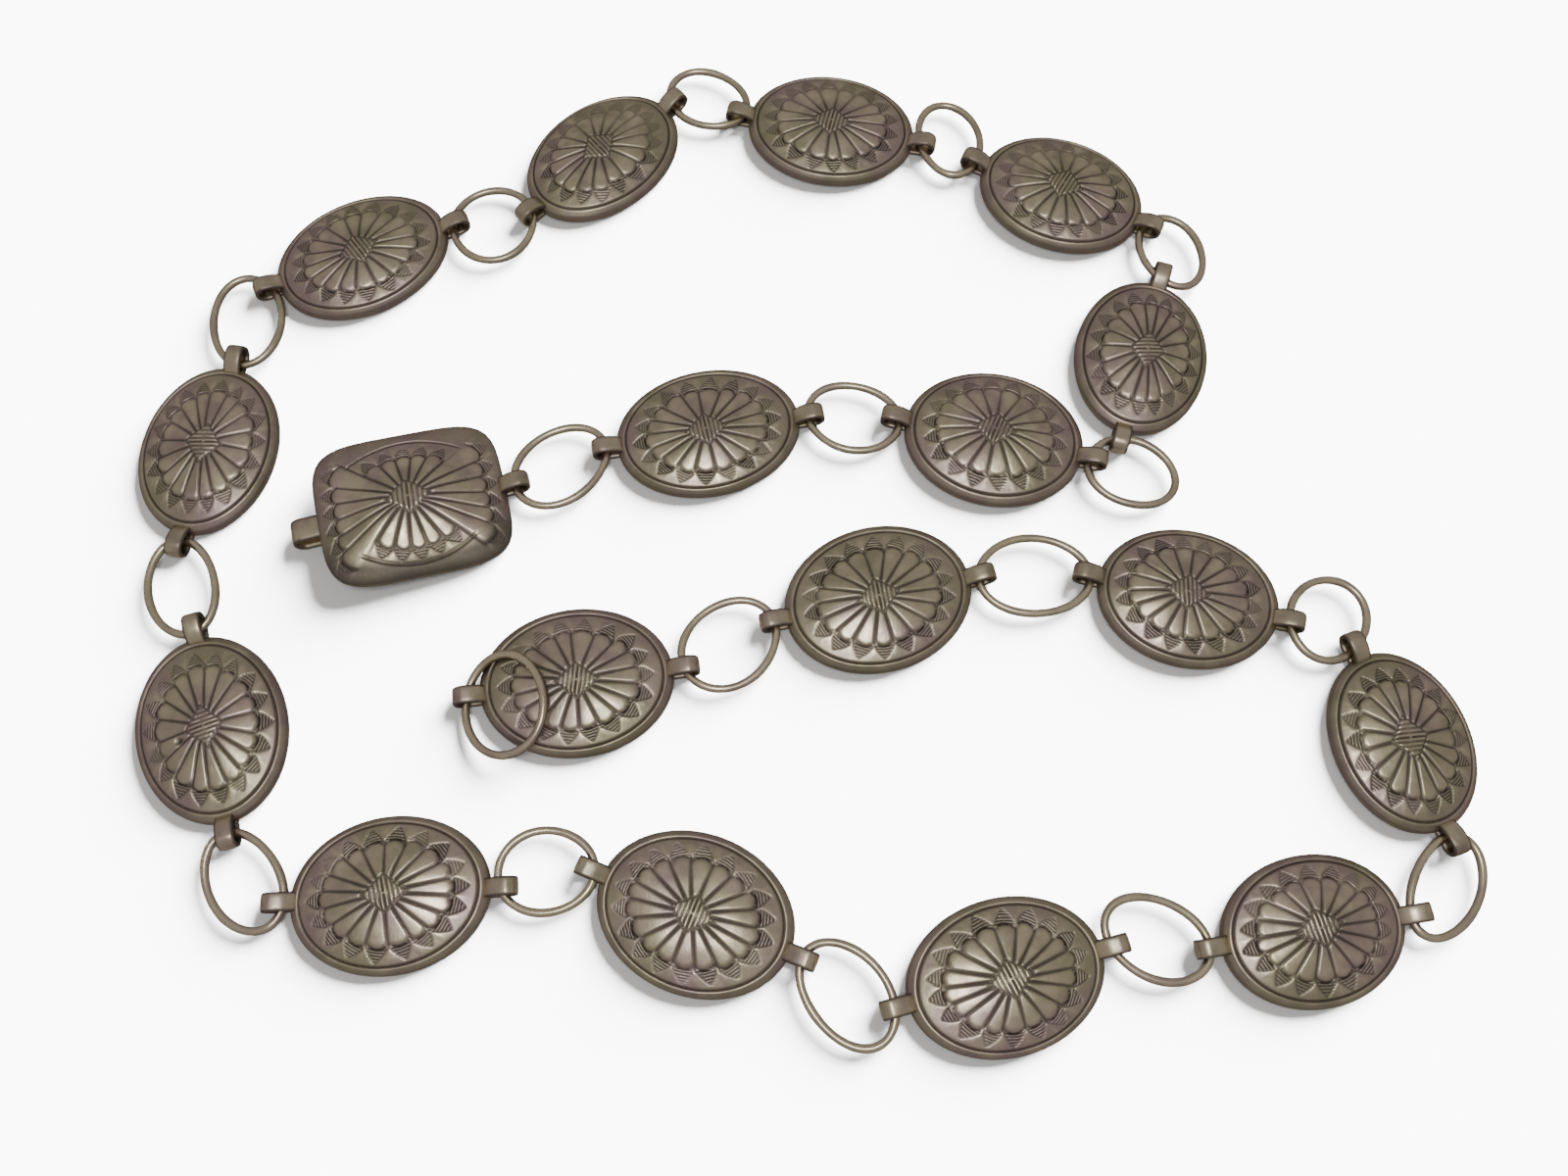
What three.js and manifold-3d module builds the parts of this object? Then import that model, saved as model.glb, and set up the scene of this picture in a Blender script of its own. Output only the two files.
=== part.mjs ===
// Concho belt of silver: a rectangular hook buckle and seventeen oval conchos, linked by oval rings.
// Millimetres, +Z up. The belt lies on the plane z = 0 in a doubled S, and z = 0 is its lowest point.
// The origin is the middle of the belt's outline, on that plane.

import * as THREE from 'three';
import { mergeVertices } from 'three/addons/utils/BufferGeometryUtils.js';
import Module from 'manifold-3d';

// Driving dimensions

// Space left between two pieces that touch.
const GAP = 0.3;

// Oval shell: outer length, breadth and height, height of the upright rim, sheet thickness.
const CONCHO = { length: 37, breadth: 28.2, height: 4.9, rim: 1.3, wall: 1, sides: 20 };

// Rectangular shell of the buckle. corner is the power of its rounded outline: 2 would be an oval.
const BUCKLE = { length: 37.4, breadth: 31.2, height: 5.4, rim: 1.4, wall: 1, corner: 4.5, sides: 28 };

// Strap loop soldered to each end: reach past the rim, height over the surface, strap breadth and
// thickness. saddle is the inside height where the strap dips to the rim, and root is how far its
// two ends lie over and under the plate.
const LOOP = { reach: 5.3, height: 4.8, breadth: 3.5, thickness: 0.9, saddle: 2.8, root: 2, noseSteps: 3 };

// How deep two soldered parts sink into each other.
const SOLDER = 0.2;

// Height of a shell's lower edge over the surface: the shell stands on the straps of its loops.
const FOOT = LOOP.thickness - SOLDER;

// Hook under the buckle: strap breadth and thickness, reach past the rim, inside height at the rim,
// length of the leg that turns back below the plate and of the root soldered under it.
const HOOK = { breadth: 5, thickness: 0.9, reach: 6.2, mouth: 3.4, leg: 8, root: 7, noseSteps: 3 };

// Oval ring: length and breadth over the middle of the wire, wire diameter.
const RING = { length: 18.8, breadth: 14.4, wire: 1.7, wireSides: 6, steps: 16 };

// Length of belt from one concho's middle to the next when the ring between them is pulled straight
// and its wire runs halfway along each loop.
const PITCH = CONCHO.length + LOOP.reach + RING.length;

// Rise of a dome from the top of the rim (up = 0) to its crown (up = 1), by share of the half size.
const DOME = [
  { out: 1, up: 0 },
  { out: 0.955, up: 0.18 },
  { out: 0.74, up: 0.6 },
  { out: 0.4, up: 0.91 },
  { out: 0, up: 1 },
];

// The hollow under the dome takes fewer steps.
const HOLLOW = [
  { out: 1, up: 0 },
  { out: 0.7, up: 0.65 },
  { out: 0, up: 1 },
];

// The belt's route from the buckle to the free end. x and y are the middle of each piece in pitches,
// heading is the way from its entry loop to its exit loop, and turn is how far its long axis is
// turned from that line, both in degrees. length and breadth are this piece's shares of the sizes
// above, because each was beaten by hand.
const ROUTE = [
  { name: 'buckle', x: -1.23, y: 0.268, heading: 15, turn: 0, length: 1, breadth: 1 },
  { name: 'concho_01', x: -0.256, y: 0.544, heading: 10, turn: 2, length: 1.03, breadth: 0.99 },
  { name: 'concho_02', x: 0.709, y: 0.521, heading: -13, turn: 1, length: 1, breadth: 1.04 },
  { name: 'concho_03', x: 1.232, y: 0.828, heading: 73, turn: 6, length: 0.96, breadth: 0.98 },
  { name: 'concho_04', x: 0.997, y: 1.481, heading: 156, turn: 1, length: 0.98, breadth: 0.97 },
  { name: 'concho_05', x: 0.171, y: 1.754, heading: 169, turn: 1, length: 1, breadth: 0.98 },
  { name: 'concho_06', x: -0.659, y: 1.637, heading: 223, turn: -1, length: 1.01, breadth: 0.95 },
  { name: 'concho_07', x: -1.492, y: 1.225, heading: 202, turn: 5, length: 1.02, breadth: 0.98 },
  { name: 'concho_08', x: -1.94, y: 0.48, heading: 261, turn: 2, length: 1, breadth: 0.99 },
  { name: 'concho_09', x: -1.805, y: -0.476, heading: 286, turn: 2, length: 1.01, breadth: 1.02 },
  { name: 'concho_10', x: -1.194, y: -0.988, heading: 4, turn: 3, length: 1, breadth: 1.03 },
  { name: 'concho_11', x: -0.267, y: -1.043, heading: -22, turn: 1, length: 1.02, breadth: 1.04 },
  { name: 'concho_12', x: 0.66, y: -1.226, heading: 15, turn: 1, length: 1, breadth: 0.99 },
  { name: 'concho_13', x: 1.593, y: -1.094, heading: 9, turn: 6, length: 0.93, breadth: 0.97 },
  { name: 'concho_14', x: 1.944, y: -0.516, heading: 110, turn: -6, length: 0.96, breadth: 0.95 },
  { name: 'concho_15', x: 1.314, y: -0.044, heading: 166, turn: 2, length: 0.97, breadth: 1.01 },
  { name: 'concho_16', x: 0.306, y: -0.045, heading: 193, turn: 3, length: 1.02, breadth: 1.06 },
  { name: 'concho_17', x: -0.66, y: -0.325, heading: 188, turn: -2, length: 1.02, breadth: 1.05 },
];

// How each ring lies between its two loops. lie is the direction of its long axis in degrees, side
// says whether its middle is left (1) or right (-1) of the way from loop to loop, and from and to are
// where its wire runs through the two loops, in reaches of a loop from the rim. length and breadth
// are shares of the ring's sizes, because the wire was bent by hand.
const LINKS = [
  { lie: 38, side: -1, from: 0.37, to: 0.43, length: 1.09, breadth: 1.05 },
  { lie: 165, side: 1, from: 0.26, to: 0.2, length: 1.02, breadth: 1 },
  { lie: 158, side: -1, from: 0.24, to: 0.41, length: 0.97, breadth: 0.97 },
  { lie: 111, side: -1, from: 0.33, to: 0.26, length: 0.93, breadth: 0.88 },
  { lie: 103, side: -1, from: 0.35, to: 0.34, length: 0.98, breadth: 0.92 },
  { lie: 155, side: -1, from: 0.29, to: 0.34, length: 0.96, breadth: 0.96 },
  { lie: 49, side: 1, from: 0.36, to: 0.33, length: 0.94, breadth: 1.19 },
  { lie: 96, side: -1, from: 0.33, to: 0.27, length: 1.1, breadth: 1 },
  { lie: 107, side: -1, from: 0.35, to: 0.29, length: 1.07, breadth: 0.91 },
  { lie: 124, side: -1, from: 0.41, to: 0.26, length: 1.06, breadth: 0.9 },
  { lie: 3, side: 1, from: 0.33, to: 0.31, length: 0.96, breadth: 1.05 },
  { lie: 130, side: -1, from: 0.46, to: 0.46, length: 1.12, breadth: 0.98 },
  { lie: 155, side: 1, from: 0.34, to: 0.46, length: 1.06, breadth: 0.97 },
  { lie: 60, side: -1, from: 0.3, to: 0.32, length: 1.08, breadth: 0.83 },
  { lie: 66, side: -1, from: 0.33, to: 0.44, length: 0.9, breadth: 1.03 },
  { lie: 0, side: -1, from: 0.27, to: 0.25, length: 1.18, breadth: 1.1 },
  { lie: 41, side: -1, from: 0.42, to: 0.37, length: 1.07, breadth: 1.13 },
];

// The free end ring. toward is the direction from its loop to its middle, back over the last concho.
// It is tilted in steps, up to the most it may take, until it clears the dome.
const END_RING = {
  lie: 100, toward: -14, from: 0.5, length: 1.05, breadth: 1.18, tiltStep: 0.5, tiltMost: 60,
};

// Materials

const SILVER = new THREE.MeshStandardMaterial({ color: 0x8c8377, roughness: 0.38, metalness: 1 });
const RING_SILVER = new THREE.MeshStandardMaterial({ color: 0x958b7d, roughness: 0.34, metalness: 1 });

const degrees = THREE.MathUtils.degToRad;

// Solids and cuts

const wasm = await Module();
wasm.setup();

// Turns a closed three.js geometry into a solid that can be joined to others.
function solidOf(geometry) {
  const bare = geometry.clone();
  bare.deleteAttribute('normal');
  bare.deleteAttribute('uv');
  const welded = mergeVertices(bare);
  return new wasm.Manifold(new wasm.Mesh({
    numProp: 3,
    vertProperties: new Float32Array(welded.attributes.position.array),
    triVerts: new Uint32Array(welded.index.array),
  }));
}

// Turns a solid back into a three.js geometry.
function geometryOf(solid) {
  const mesh = solid.getMesh();
  const geometry = new THREE.BufferGeometry();
  geometry.setAttribute('position', new THREE.BufferAttribute(new Float32Array(mesh.vertProperties), 3));
  geometry.setIndex(new THREE.BufferAttribute(new Uint32Array(mesh.triVerts), 1));
  geometry.computeVertexNormals();
  return geometry;
}

// Joins several closed geometries into one, as solder does.
function soldered(geometries) {
  const solids = geometries.map(solidOf);
  return geometryOf(solids.reduce((whole, next) => whole.add(next)));
}

// Cuts one closed geometry out of another.
function cutOut(body, hole) {
  return geometryOf(solidOf(body).subtract(solidOf(hole)));
}

// Outlines

// Oval or rounded rectangle of the given half sizes: |x/a|^power + |y/b|^power = 1.
function outlinePoint(halfLength, halfBreadth, power, angle) {
  const cos = Math.cos(angle);
  const sin = Math.sin(angle);
  const size = (Math.abs(cos) ** power + Math.abs(sin) ** power) ** (-1 / power);
  return new THREE.Vector2(halfLength * size * cos, halfBreadth * size * sin);
}

// How far a piece's rim is from its middle, on the line through its two loops.
function rimReach(sizes, row) {
  const power = sizes.corner ?? 2;
  const along = 2 * Math.cos(degrees(row.turn)) / (sizes.length * row.length);
  const across = 2 * Math.sin(degrees(row.turn)) / (sizes.breadth * row.breadth);
  return (Math.abs(along) ** power + Math.abs(across) ** power) ** (-1 / power);
}

// Half sizes of one beaten shell, outside and inside its sheet.
function shellHalves(sizes, row) {
  const length = sizes.length * row.length / 2;
  const breadth = sizes.breadth * row.breadth / 2;
  return {
    outer: { length, breadth, height: sizes.height },
    inner: { length: length - sizes.wall, breadth: breadth - sizes.wall, height: sizes.height - sizes.wall },
  };
}

// Shell

// Domed shell, open below: the outside runs from the rim's foot to the crown, the inside back down.
function shellGeometry(sizes, row) {
  const power = sizes.corner ?? 2;
  const { outer, inner } = shellHalves(sizes, row);
  const rows = [{ half: inner, out: 1, z: 0 }, { half: outer, out: 1, z: 0 }];
  for (const { out, up } of DOME) {
    rows.push({ half: outer, out, z: sizes.rim + up * (outer.height - sizes.rim) });
  }
  for (const { out, up } of HOLLOW) {
    const foot = sizes.rim - sizes.wall / 2;
    rows.unshift({ half: inner, out, z: foot + up * (inner.height - foot) });
  }
  return skin(rows.map(({ half, out, z }) => rowPoints(half, out, z, power, sizes.sides)));
}

// One level of a shell: a ring of points, or a single point on the axis.
function rowPoints(half, out, z, power, sides) {
  if (out === 0) return [new THREE.Vector3(0, 0, z)];
  const points = [];
  for (let i = 0; i < sides; i += 1) {
    const flat = outlinePoint(half.length * out, half.breadth * out, power, (2 * Math.PI * i) / sides);
    points.push(new THREE.Vector3(flat.x, flat.y, z));
  }
  return points;
}

// Closed skin over rows of points that run from one point on the axis to another.
function skin(rows) {
  const positions = [];
  const starts = [];
  for (const row of rows) {
    starts.push(positions.length / 3);
    for (const point of row) positions.push(point.x, point.y, point.z);
  }
  const index = [];
  for (let r = 0; r + 1 < rows.length; r += 1) {
    const lower = rows[r];
    const upper = rows[r + 1];
    const count = Math.max(lower.length, upper.length);
    for (let i = 0; i < count; i += 1) {
      const next = (i + 1) % count;
      const a = starts[r] + (lower.length > 1 ? i : 0);
      const b = starts[r] + (lower.length > 1 ? next : 0);
      const c = starts[r + 1] + (upper.length > 1 ? next : 0);
      const d = starts[r + 1] + (upper.length > 1 ? i : 0);
      if (a !== b) index.push(a, b, c);
      if (c !== d) index.push(a, c, d);
    }
  }
  const geometry = new THREE.BufferGeometry();
  geometry.setAttribute('position', new THREE.Float32BufferAttribute(positions, 3));
  geometry.setIndex(index);
  return geometry;
}

// Straps

// Straight strap with the given side view: the shape's x runs outward, its y is height.
function strapGeometry(shape, breadth, steps) {
  const options = { depth: breadth, bevelEnabled: false, curveSegments: steps };
  const strap = new THREE.ExtrudeGeometry(shape, options);
  strap.translate(0, 0, -breadth / 2);
  strap.rotateX(Math.PI / 2);
  return strap;
}

// Closed loop of strap, drawn from the rim at x = 0: flat along the surface, round the nose, back
// over the wire and down on to the plate. Its lower end runs in through the rim's wall.
function loopGeometry(sizes) {
  const { reach, height, thickness, breadth, saddle, root, noseSteps } = LOOP;
  const nose = reach - height / 2;
  const bar = new THREE.Shape();
  bar.moveTo(-root, thickness);
  bar.lineTo(-root, 0);
  bar.absarc(nose, height / 2, height / 2, -Math.PI / 2, Math.PI / 2);
  bar.lineTo(0, saddle + thickness);
  bar.lineTo(-root, saddle + thickness / 2);
  bar.lineTo(-root, saddle - thickness / 2);
  bar.lineTo(-sizes.wall, thickness);
  const eye = new THREE.Shape();
  eye.moveTo(SOLDER, saddle);
  eye.lineTo(SOLDER, thickness);
  eye.absarc(nose, height / 2, height / 2 - thickness, -Math.PI / 2, Math.PI / 2);
  return cutOut(strapGeometry(bar, breadth, noseSteps), strapGeometry(eye, 2 * breadth, noseSteps));
}

// Hook strap, drawn from the rim at x = 0: soldered below the rim, out over the mouth, round the
// nose and back along the surface below the plate. It stays open there, to take the end ring.
function hookGeometry() {
  const { reach, mouth, thickness, leg, root, breadth } = HOOK;
  const nose = reach - thickness - mouth / 2;
  const middle = thickness + mouth / 2;
  const shape = new THREE.Shape();
  shape.moveTo(-leg, thickness);
  shape.lineTo(-leg, 0);
  shape.absarc(nose, middle, middle, -Math.PI / 2, Math.PI / 2);
  shape.lineTo(-root, 2 * middle);
  shape.lineTo(-root, 2 * middle - thickness);
  shape.absarc(nose, middle, mouth / 2, Math.PI / 2, -Math.PI / 2, true);
  return strapGeometry(shape, breadth, HOOK.noseSteps);
}

// Pieces

// One concho: its shell with a loop soldered to each end.
function conchoGeometry(row) {
  const end = rimReach(CONCHO, row);
  const shell = shellGeometry(CONCHO, row).rotateZ(degrees(row.turn)).translate(0, 0, FOOT);
  const exit = loopGeometry(CONCHO).translate(end, 0, 0);
  const entry = loopGeometry(CONCHO).translate(end, 0, 0).rotateZ(Math.PI);
  return soldered([shell, exit, entry]);
}

// Slope of the buckle's plate, which rides up on the hook at its far end.
function buckleTilt() {
  const lift = 2 * HOOK.thickness + HOOK.mouth - SOLDER - FOOT;
  return Math.asin(lift / BUCKLE.length);
}

// The buckle: a plate that leans on its hook, with a loop at its exit and the hook at its entry.
function buckleGeometry(row) {
  const end = rimReach(BUCKLE, row);
  const plate = shellGeometry(BUCKLE, row).translate(-end, 0, 0);
  plate.rotateY(buckleTilt()).translate(end, 0, FOOT);
  const exit = loopGeometry(BUCKLE).translate(end, 0, 0);
  const foot = end - 2 * end * Math.cos(buckleTilt());
  const hook = hookGeometry().rotateZ(Math.PI).translate(foot, 0, 0);
  return soldered([plate, exit, hook]);
}

// Oval ring of round wire, flat in the XY plane around the origin: a torus of radius 1 whose
// sections are moved out onto the oval.
function ringGeometry(link) {
  const half = { length: RING.length * link.length / 2, breadth: RING.breadth * link.breadth / 2 };
  const torus = new THREE.TorusGeometry(1, 0.5, RING.wireSides, RING.steps);
  torus.deleteAttribute('normal');
  torus.deleteAttribute('uv');
  const ring = mergeVertices(torus, 1e-4);
  const place = ring.attributes.position;
  for (let i = 0; i < place.count; i += 1) {
    const around = Math.atan2(place.getY(i), place.getX(i));
    const outward = (Math.hypot(place.getX(i), place.getY(i)) - 1) * RING.wire;
    const middle = new THREE.Vector2(half.length * Math.cos(around), half.breadth * Math.sin(around));
    const normal = new THREE.Vector2(half.breadth * Math.cos(around), half.length * Math.sin(around));
    middle.addScaledVector(normal.normalize(), outward);
    place.setXYZ(i, middle.x, middle.y, place.getZ(i) * RING.wire);
  }
  ring.computeVertexNormals();
  return ring;
}

// Placing

// Unit vector at an angle in degrees from +X.
function direction(angle) {
  return new THREE.Vector2(Math.cos(degrees(angle)), Math.sin(degrees(angle)));
}

// Where a ring's wire runs through the loop at the exit (1) or entry (-1) of a piece, at a share of
// the loop's reach.
function seatOf(row, end, share) {
  const sizes = row.name === 'buckle' ? BUCKLE : CONCHO;
  const reach = rimReach(sizes, row) + share * LOOP.reach;
  const middle = new THREE.Vector2(row.x, row.y).multiplyScalar(PITCH);
  return middle.addScaledVector(direction(row.heading), end * reach);
}

// Middle of the oval that passes through both seats: the oval is squeezed to a circle of radius 1,
// where the middle lies square to the chord between them.
function ringMiddle(from, to, link) {
  const origin = new THREE.Vector2();
  const half = { length: RING.length * link.length / 2, breadth: RING.breadth * link.breadth / 2 };
  const squeeze = (point) => {
    const turned = point.clone().rotateAround(origin, -degrees(link.lie));
    return new THREE.Vector2(turned.x / half.length, turned.y / half.breadth);
  };
  const start = squeeze(from);
  const chord = squeeze(to).sub(start);
  const rise = Math.sqrt(Math.max(0, 1 - chord.lengthSq() / 4));
  const square = new THREE.Vector2(-chord.y, chord.x).normalize();
  const middle = start.addScaledVector(chord, 0.5).addScaledVector(square, link.side * rise);
  middle.set(middle.x * half.length, middle.y * half.breadth);
  return middle.rotateAround(origin, degrees(link.lie));
}

// Height of the wire's middle in a loop, a gap above the strap that it rests on.
const SEAT_HEIGHT = LOOP.thickness + GAP + RING.wire / 2;

function meshOf(name, geometry, material) {
  const mesh = new THREE.Mesh(geometry, material);
  mesh.name = name;
  return mesh;
}

function placedPiece(row) {
  const isBuckle = row.name === 'buckle';
  const geometry = isBuckle ? buckleGeometry(row) : conchoGeometry(row);
  const mesh = meshOf(row.name, geometry, SILVER.clone());
  mesh.position.set(row.x * PITCH, row.y * PITCH, 0);
  mesh.rotation.z = degrees(row.heading);
  return mesh;
}

function placedRing(name, link, middle) {
  const mesh = meshOf(name, ringGeometry(link), RING_SILVER.clone());
  mesh.position.set(middle.x, middle.y, SEAT_HEIGHT);
  mesh.rotation.z = degrees(link.lie);
  return mesh;
}

// Height of a concho's outer surface over a point given in the concho's own frame.
function domeHeight(row, x, y) {
  const { outer } = shellHalves(CONCHO, row);
  const place = new THREE.Vector2(x, y).rotateAround(new THREE.Vector2(), -degrees(row.turn));
  const share = Math.hypot(place.x / outer.length, place.y / outer.breadth);
  if (share >= 1) return FOOT;
  const above = DOME.findIndex(({ out }) => out <= share);
  const low = DOME[Math.max(above - 1, 0)];
  const high = DOME[above];
  const up = high.up + (low.up - high.up) * (share - high.out) / Math.max(low.out - high.out, 1e-9);
  return FOOT + CONCHO.rim + up * (CONCHO.height - CONCHO.rim);
}

// The free end ring hangs in the last loop and folds back until it lies on the dome.
function placedEndRing(name, row) {
  const seat = seatOf(row, 1, END_RING.from);
  const half = { length: RING.length * END_RING.length / 2, breadth: RING.breadth * END_RING.breadth / 2 };
  const toSeat = direction(END_RING.toward + 180 - END_RING.lie);
  const reach = 1 / Math.hypot(toSeat.x / half.length, toSeat.y / half.breadth);
  const ring = meshOf(name, ringGeometry(END_RING), RING_SILVER.clone());
  const middle = direction(END_RING.toward - row.heading).multiplyScalar(reach);
  ring.position.set(middle.x, middle.y, 0);
  ring.rotation.z = degrees(END_RING.lie - row.heading);

  const hinge = new THREE.Group();
  hinge.add(ring);
  const atLoop = new THREE.Group();
  atLoop.add(hinge);
  atLoop.position.set(seat.x, seat.y, SEAT_HEIGHT);
  atLoop.rotation.z = degrees(row.heading);

  const concho = new THREE.Matrix4().makeTranslation(row.x * PITCH, row.y * PITCH, 0);
  concho.multiply(new THREE.Matrix4().makeRotationZ(degrees(row.heading))).invert();
  const clears = () => {
    atLoop.updateMatrixWorld(true);
    const toConcho = concho.clone().multiply(ring.matrixWorld);
    const place = ring.geometry.attributes.position;
    for (let i = 0; i < place.count; i += 1) {
      const point = new THREE.Vector3().fromBufferAttribute(place, i).applyMatrix4(toConcho);
      if (point.z < domeHeight(row, point.x, point.y) + GAP) return false;
    }
    return true;
  };
  for (let tilt = 0; tilt < END_RING.tiltMost && !clears(); tilt += END_RING.tiltStep) {
    hinge.rotation.y = degrees(tilt);
  }
  return atLoop;
}

// The belt

const belt = new THREE.Group();
for (const row of ROUTE) belt.add(placedPiece(row));
LINKS.forEach((link, i) => {
  const middle = ringMiddle(seatOf(ROUTE[i], 1, link.from), seatOf(ROUTE[i + 1], -1, link.to), link);
  belt.add(placedRing(`ring_${String(i + 1).padStart(2, '0')}`, link, middle));
});
belt.add(placedEndRing(`ring_${LINKS.length + 1}`, ROUTE[ROUTE.length - 1]));

belt.updateMatrixWorld(true);
const box = new THREE.Box3().setFromObject(belt);
belt.position.set(-(box.min.x + box.max.x) / 2, -(box.min.y + box.max.y) / 2, -box.min.z);

export default belt;
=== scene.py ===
"""Concho belt of oxidised silver, laid in a doubled S on a pale floor.

Sizes are written in millimetres and turned into metres where a mesh is made.
"""
import math

import bpy
import numpy as np
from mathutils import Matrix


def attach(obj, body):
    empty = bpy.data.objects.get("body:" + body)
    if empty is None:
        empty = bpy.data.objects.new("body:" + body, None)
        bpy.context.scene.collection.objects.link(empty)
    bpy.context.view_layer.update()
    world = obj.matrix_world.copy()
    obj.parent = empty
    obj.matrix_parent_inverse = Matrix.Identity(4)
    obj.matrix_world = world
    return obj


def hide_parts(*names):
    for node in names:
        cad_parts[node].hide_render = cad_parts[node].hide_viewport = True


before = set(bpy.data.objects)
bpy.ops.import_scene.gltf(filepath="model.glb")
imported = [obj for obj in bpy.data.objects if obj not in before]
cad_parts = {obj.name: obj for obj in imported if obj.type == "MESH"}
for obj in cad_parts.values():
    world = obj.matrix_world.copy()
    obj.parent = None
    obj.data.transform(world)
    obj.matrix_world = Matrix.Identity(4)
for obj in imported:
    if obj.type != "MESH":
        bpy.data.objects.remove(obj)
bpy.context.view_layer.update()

MM = 0.001
rng = np.random.default_rng(17)

# Sizes shared with the solids
OVAL = dict(length=37.0, breadth=28.2, height=4.9, rim=1.3, wall=1.0, power=2.0)
PLATE = dict(length=37.4, breadth=31.2, height=5.4, rim=1.4, wall=1.0, power=4.5)
LOOP = dict(reach=5.3, height=4.8, breadth=3.5, thickness=0.9)
HOOK = dict(breadth=5.0, thickness=0.9, reach=6.2, mouth=3.4, leg=8.0)
RING = dict(length=18.8, breadth=14.4, wire=1.7)
SOLDER = 0.2
GAP = 0.3
FOOT = LOOP["thickness"] - SOLDER
SEAT = LOOP["thickness"] + GAP + RING["wire"] / 2
PITCH = OVAL["length"] + LOOP["reach"] + RING["length"]

# From the route's own origin to the frame's, as the solids' source works it out
OFFSET = np.array([-1.562, -15.933])

# x and y in pitches, heading and turn in degrees, shares of length and breadth
ROUTE = [
    ("buckle", -1.23, 0.268, 15, 0, 1, 1),
    ("concho_01", -0.256, 0.544, 10, 2, 1.03, 0.99),
    ("concho_02", 0.709, 0.521, -13, 1, 1, 1.04),
    ("concho_03", 1.232, 0.828, 73, 6, 0.96, 0.98),
    ("concho_04", 0.997, 1.481, 156, 1, 0.98, 0.97),
    ("concho_05", 0.171, 1.754, 169, 1, 1, 0.98),
    ("concho_06", -0.659, 1.637, 223, -1, 1.01, 0.95),
    ("concho_07", -1.492, 1.225, 202, 5, 1.02, 0.98),
    ("concho_08", -1.94, 0.48, 261, 2, 1, 0.99),
    ("concho_09", -1.805, -0.476, 286, 2, 1.01, 1.02),
    ("concho_10", -1.194, -0.988, 4, 3, 1, 1.03),
    ("concho_11", -0.267, -1.043, -22, 1, 1.02, 1.04),
    ("concho_12", 0.66, -1.226, 15, 1, 1, 0.99),
    ("concho_13", 1.593, -1.094, 9, 6, 0.93, 0.97),
    ("concho_14", 1.944, -0.516, 110, -6, 0.96, 0.95),
    ("concho_15", 1.314, -0.044, 166, 2, 0.97, 1.01),
    ("concho_16", 0.306, -0.045, 193, 3, 1.02, 1.06),
    ("concho_17", -0.66, -0.325, 188, -2, 1.02, 1.05),
]

# lie, side, from, to, shares of length and breadth, as in the solids
LINKS = [
    (38, -1, 0.37, 0.43, 1.09, 1.05),
    (165, 1, 0.26, 0.2, 1.02, 1),
    (158, -1, 0.24, 0.41, 0.97, 0.97),
    (111, -1, 0.33, 0.26, 0.93, 0.88),
    (103, -1, 0.35, 0.34, 0.98, 0.92),
    (155, -1, 0.29, 0.34, 0.96, 0.96),
    (49, 1, 0.36, 0.33, 0.94, 1.19),
    (96, -1, 0.33, 0.27, 1.1, 1),
    (107, -1, 0.35, 0.29, 1.07, 0.91),
    (124, -1, 0.41, 0.26, 1.06, 0.9),
    (3, 1, 0.33, 0.31, 0.96, 1.05),
    (130, -1, 0.46, 0.46, 1.12, 0.98),
    (155, 1, 0.34, 0.46, 1.06, 0.97),
    (60, -1, 0.3, 0.32, 1.08, 0.83),
    (66, -1, 0.33, 0.44, 0.9, 1.03),
    (0, -1, 0.27, 0.25, 1.18, 1.1),
    (41, -1, 0.42, 0.37, 1.07, 1.13),
]

# Share of the stamping lost to wear on each plate's far side
FADED = dict(
    concho_02=0.35, concho_04=0.62, concho_05=0.55, concho_06=0.66, concho_07=0.3, concho_08=0.25,
    concho_13=0.2,
)

# The free end ring. Its tilt is the first that clears the dome in the solids' source.
END = dict(lie=100, toward=-14, seat=0.5, length=1.05, breadth=1.18, tilt=19.5)

# Depths and heights of the stamping in millimetres
GROOVE = 0.24
CRESCENT = 0.30
TRIANGLE = 0.06
LINES = 0.12
LINE_PITCH = 0.55
EDGE = 0.12
TENT = 0.045
BARS = 0.20
BARS_UP = 0.10
LOZENGE = 0.20
BORDER = 0.30
LIP = 0.10
HOLE = 0.7
CREASE = 0.5
ARCS = 0.26
UNEVEN = 0.10

# Rows of the plate: the last ones over the dome, as shares of the way out, and those inside
EDGE_ROWS = (0.94, 0.955, 0.97, 0.98, 0.988, 0.994, 0.998)
INNER_ROWS = (0.9, 0.75, 0.55, 0.3, 0.1)

# Metal colours
PURPLE_BROWN = (0.425, 0.315, 0.305, 1)
OLIVE = (0.385, 0.345, 0.235, 1)
CLOUD = (0.56, 0.475, 0.36, 1)
# Bare metal, which also serves as a painted highlight along the wire's top
BARE_AND_SHEEN = (0.95, 0.82, 0.56, 1)
# Black tarnish, which also serves as painted shade on rims, the buckle's skirt, strap sides and wire
# undersides
TARNISH_AND_SHADE = (0.118, 0.100, 0.090, 1)


# Meshes

def turn(points, degrees):
    """Turns points about the upright axis."""
    c, s = math.cos(math.radians(degrees)), math.sin(math.radians(degrees))
    x, y = points[..., 0], points[..., 1]
    return np.stack([c * x - s * y, s * x + c * y, points[..., 2]], -1)


def outward(verts, quads, tris):
    """The faces of a closed surface, turned outward by the sign of the volume they enclose."""
    split = np.vstack([quads[:, [0, 1, 2]], quads[:, [0, 2, 3]], tris])
    a, b, c = verts[split[:, 0]], verts[split[:, 1]], verts[split[:, 2]]
    if np.einsum("ij,ij->i", a, np.cross(b, c)).sum() < 0:
        return quads[:, ::-1], tris[:, ::-1]
    return quads, tris


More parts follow.
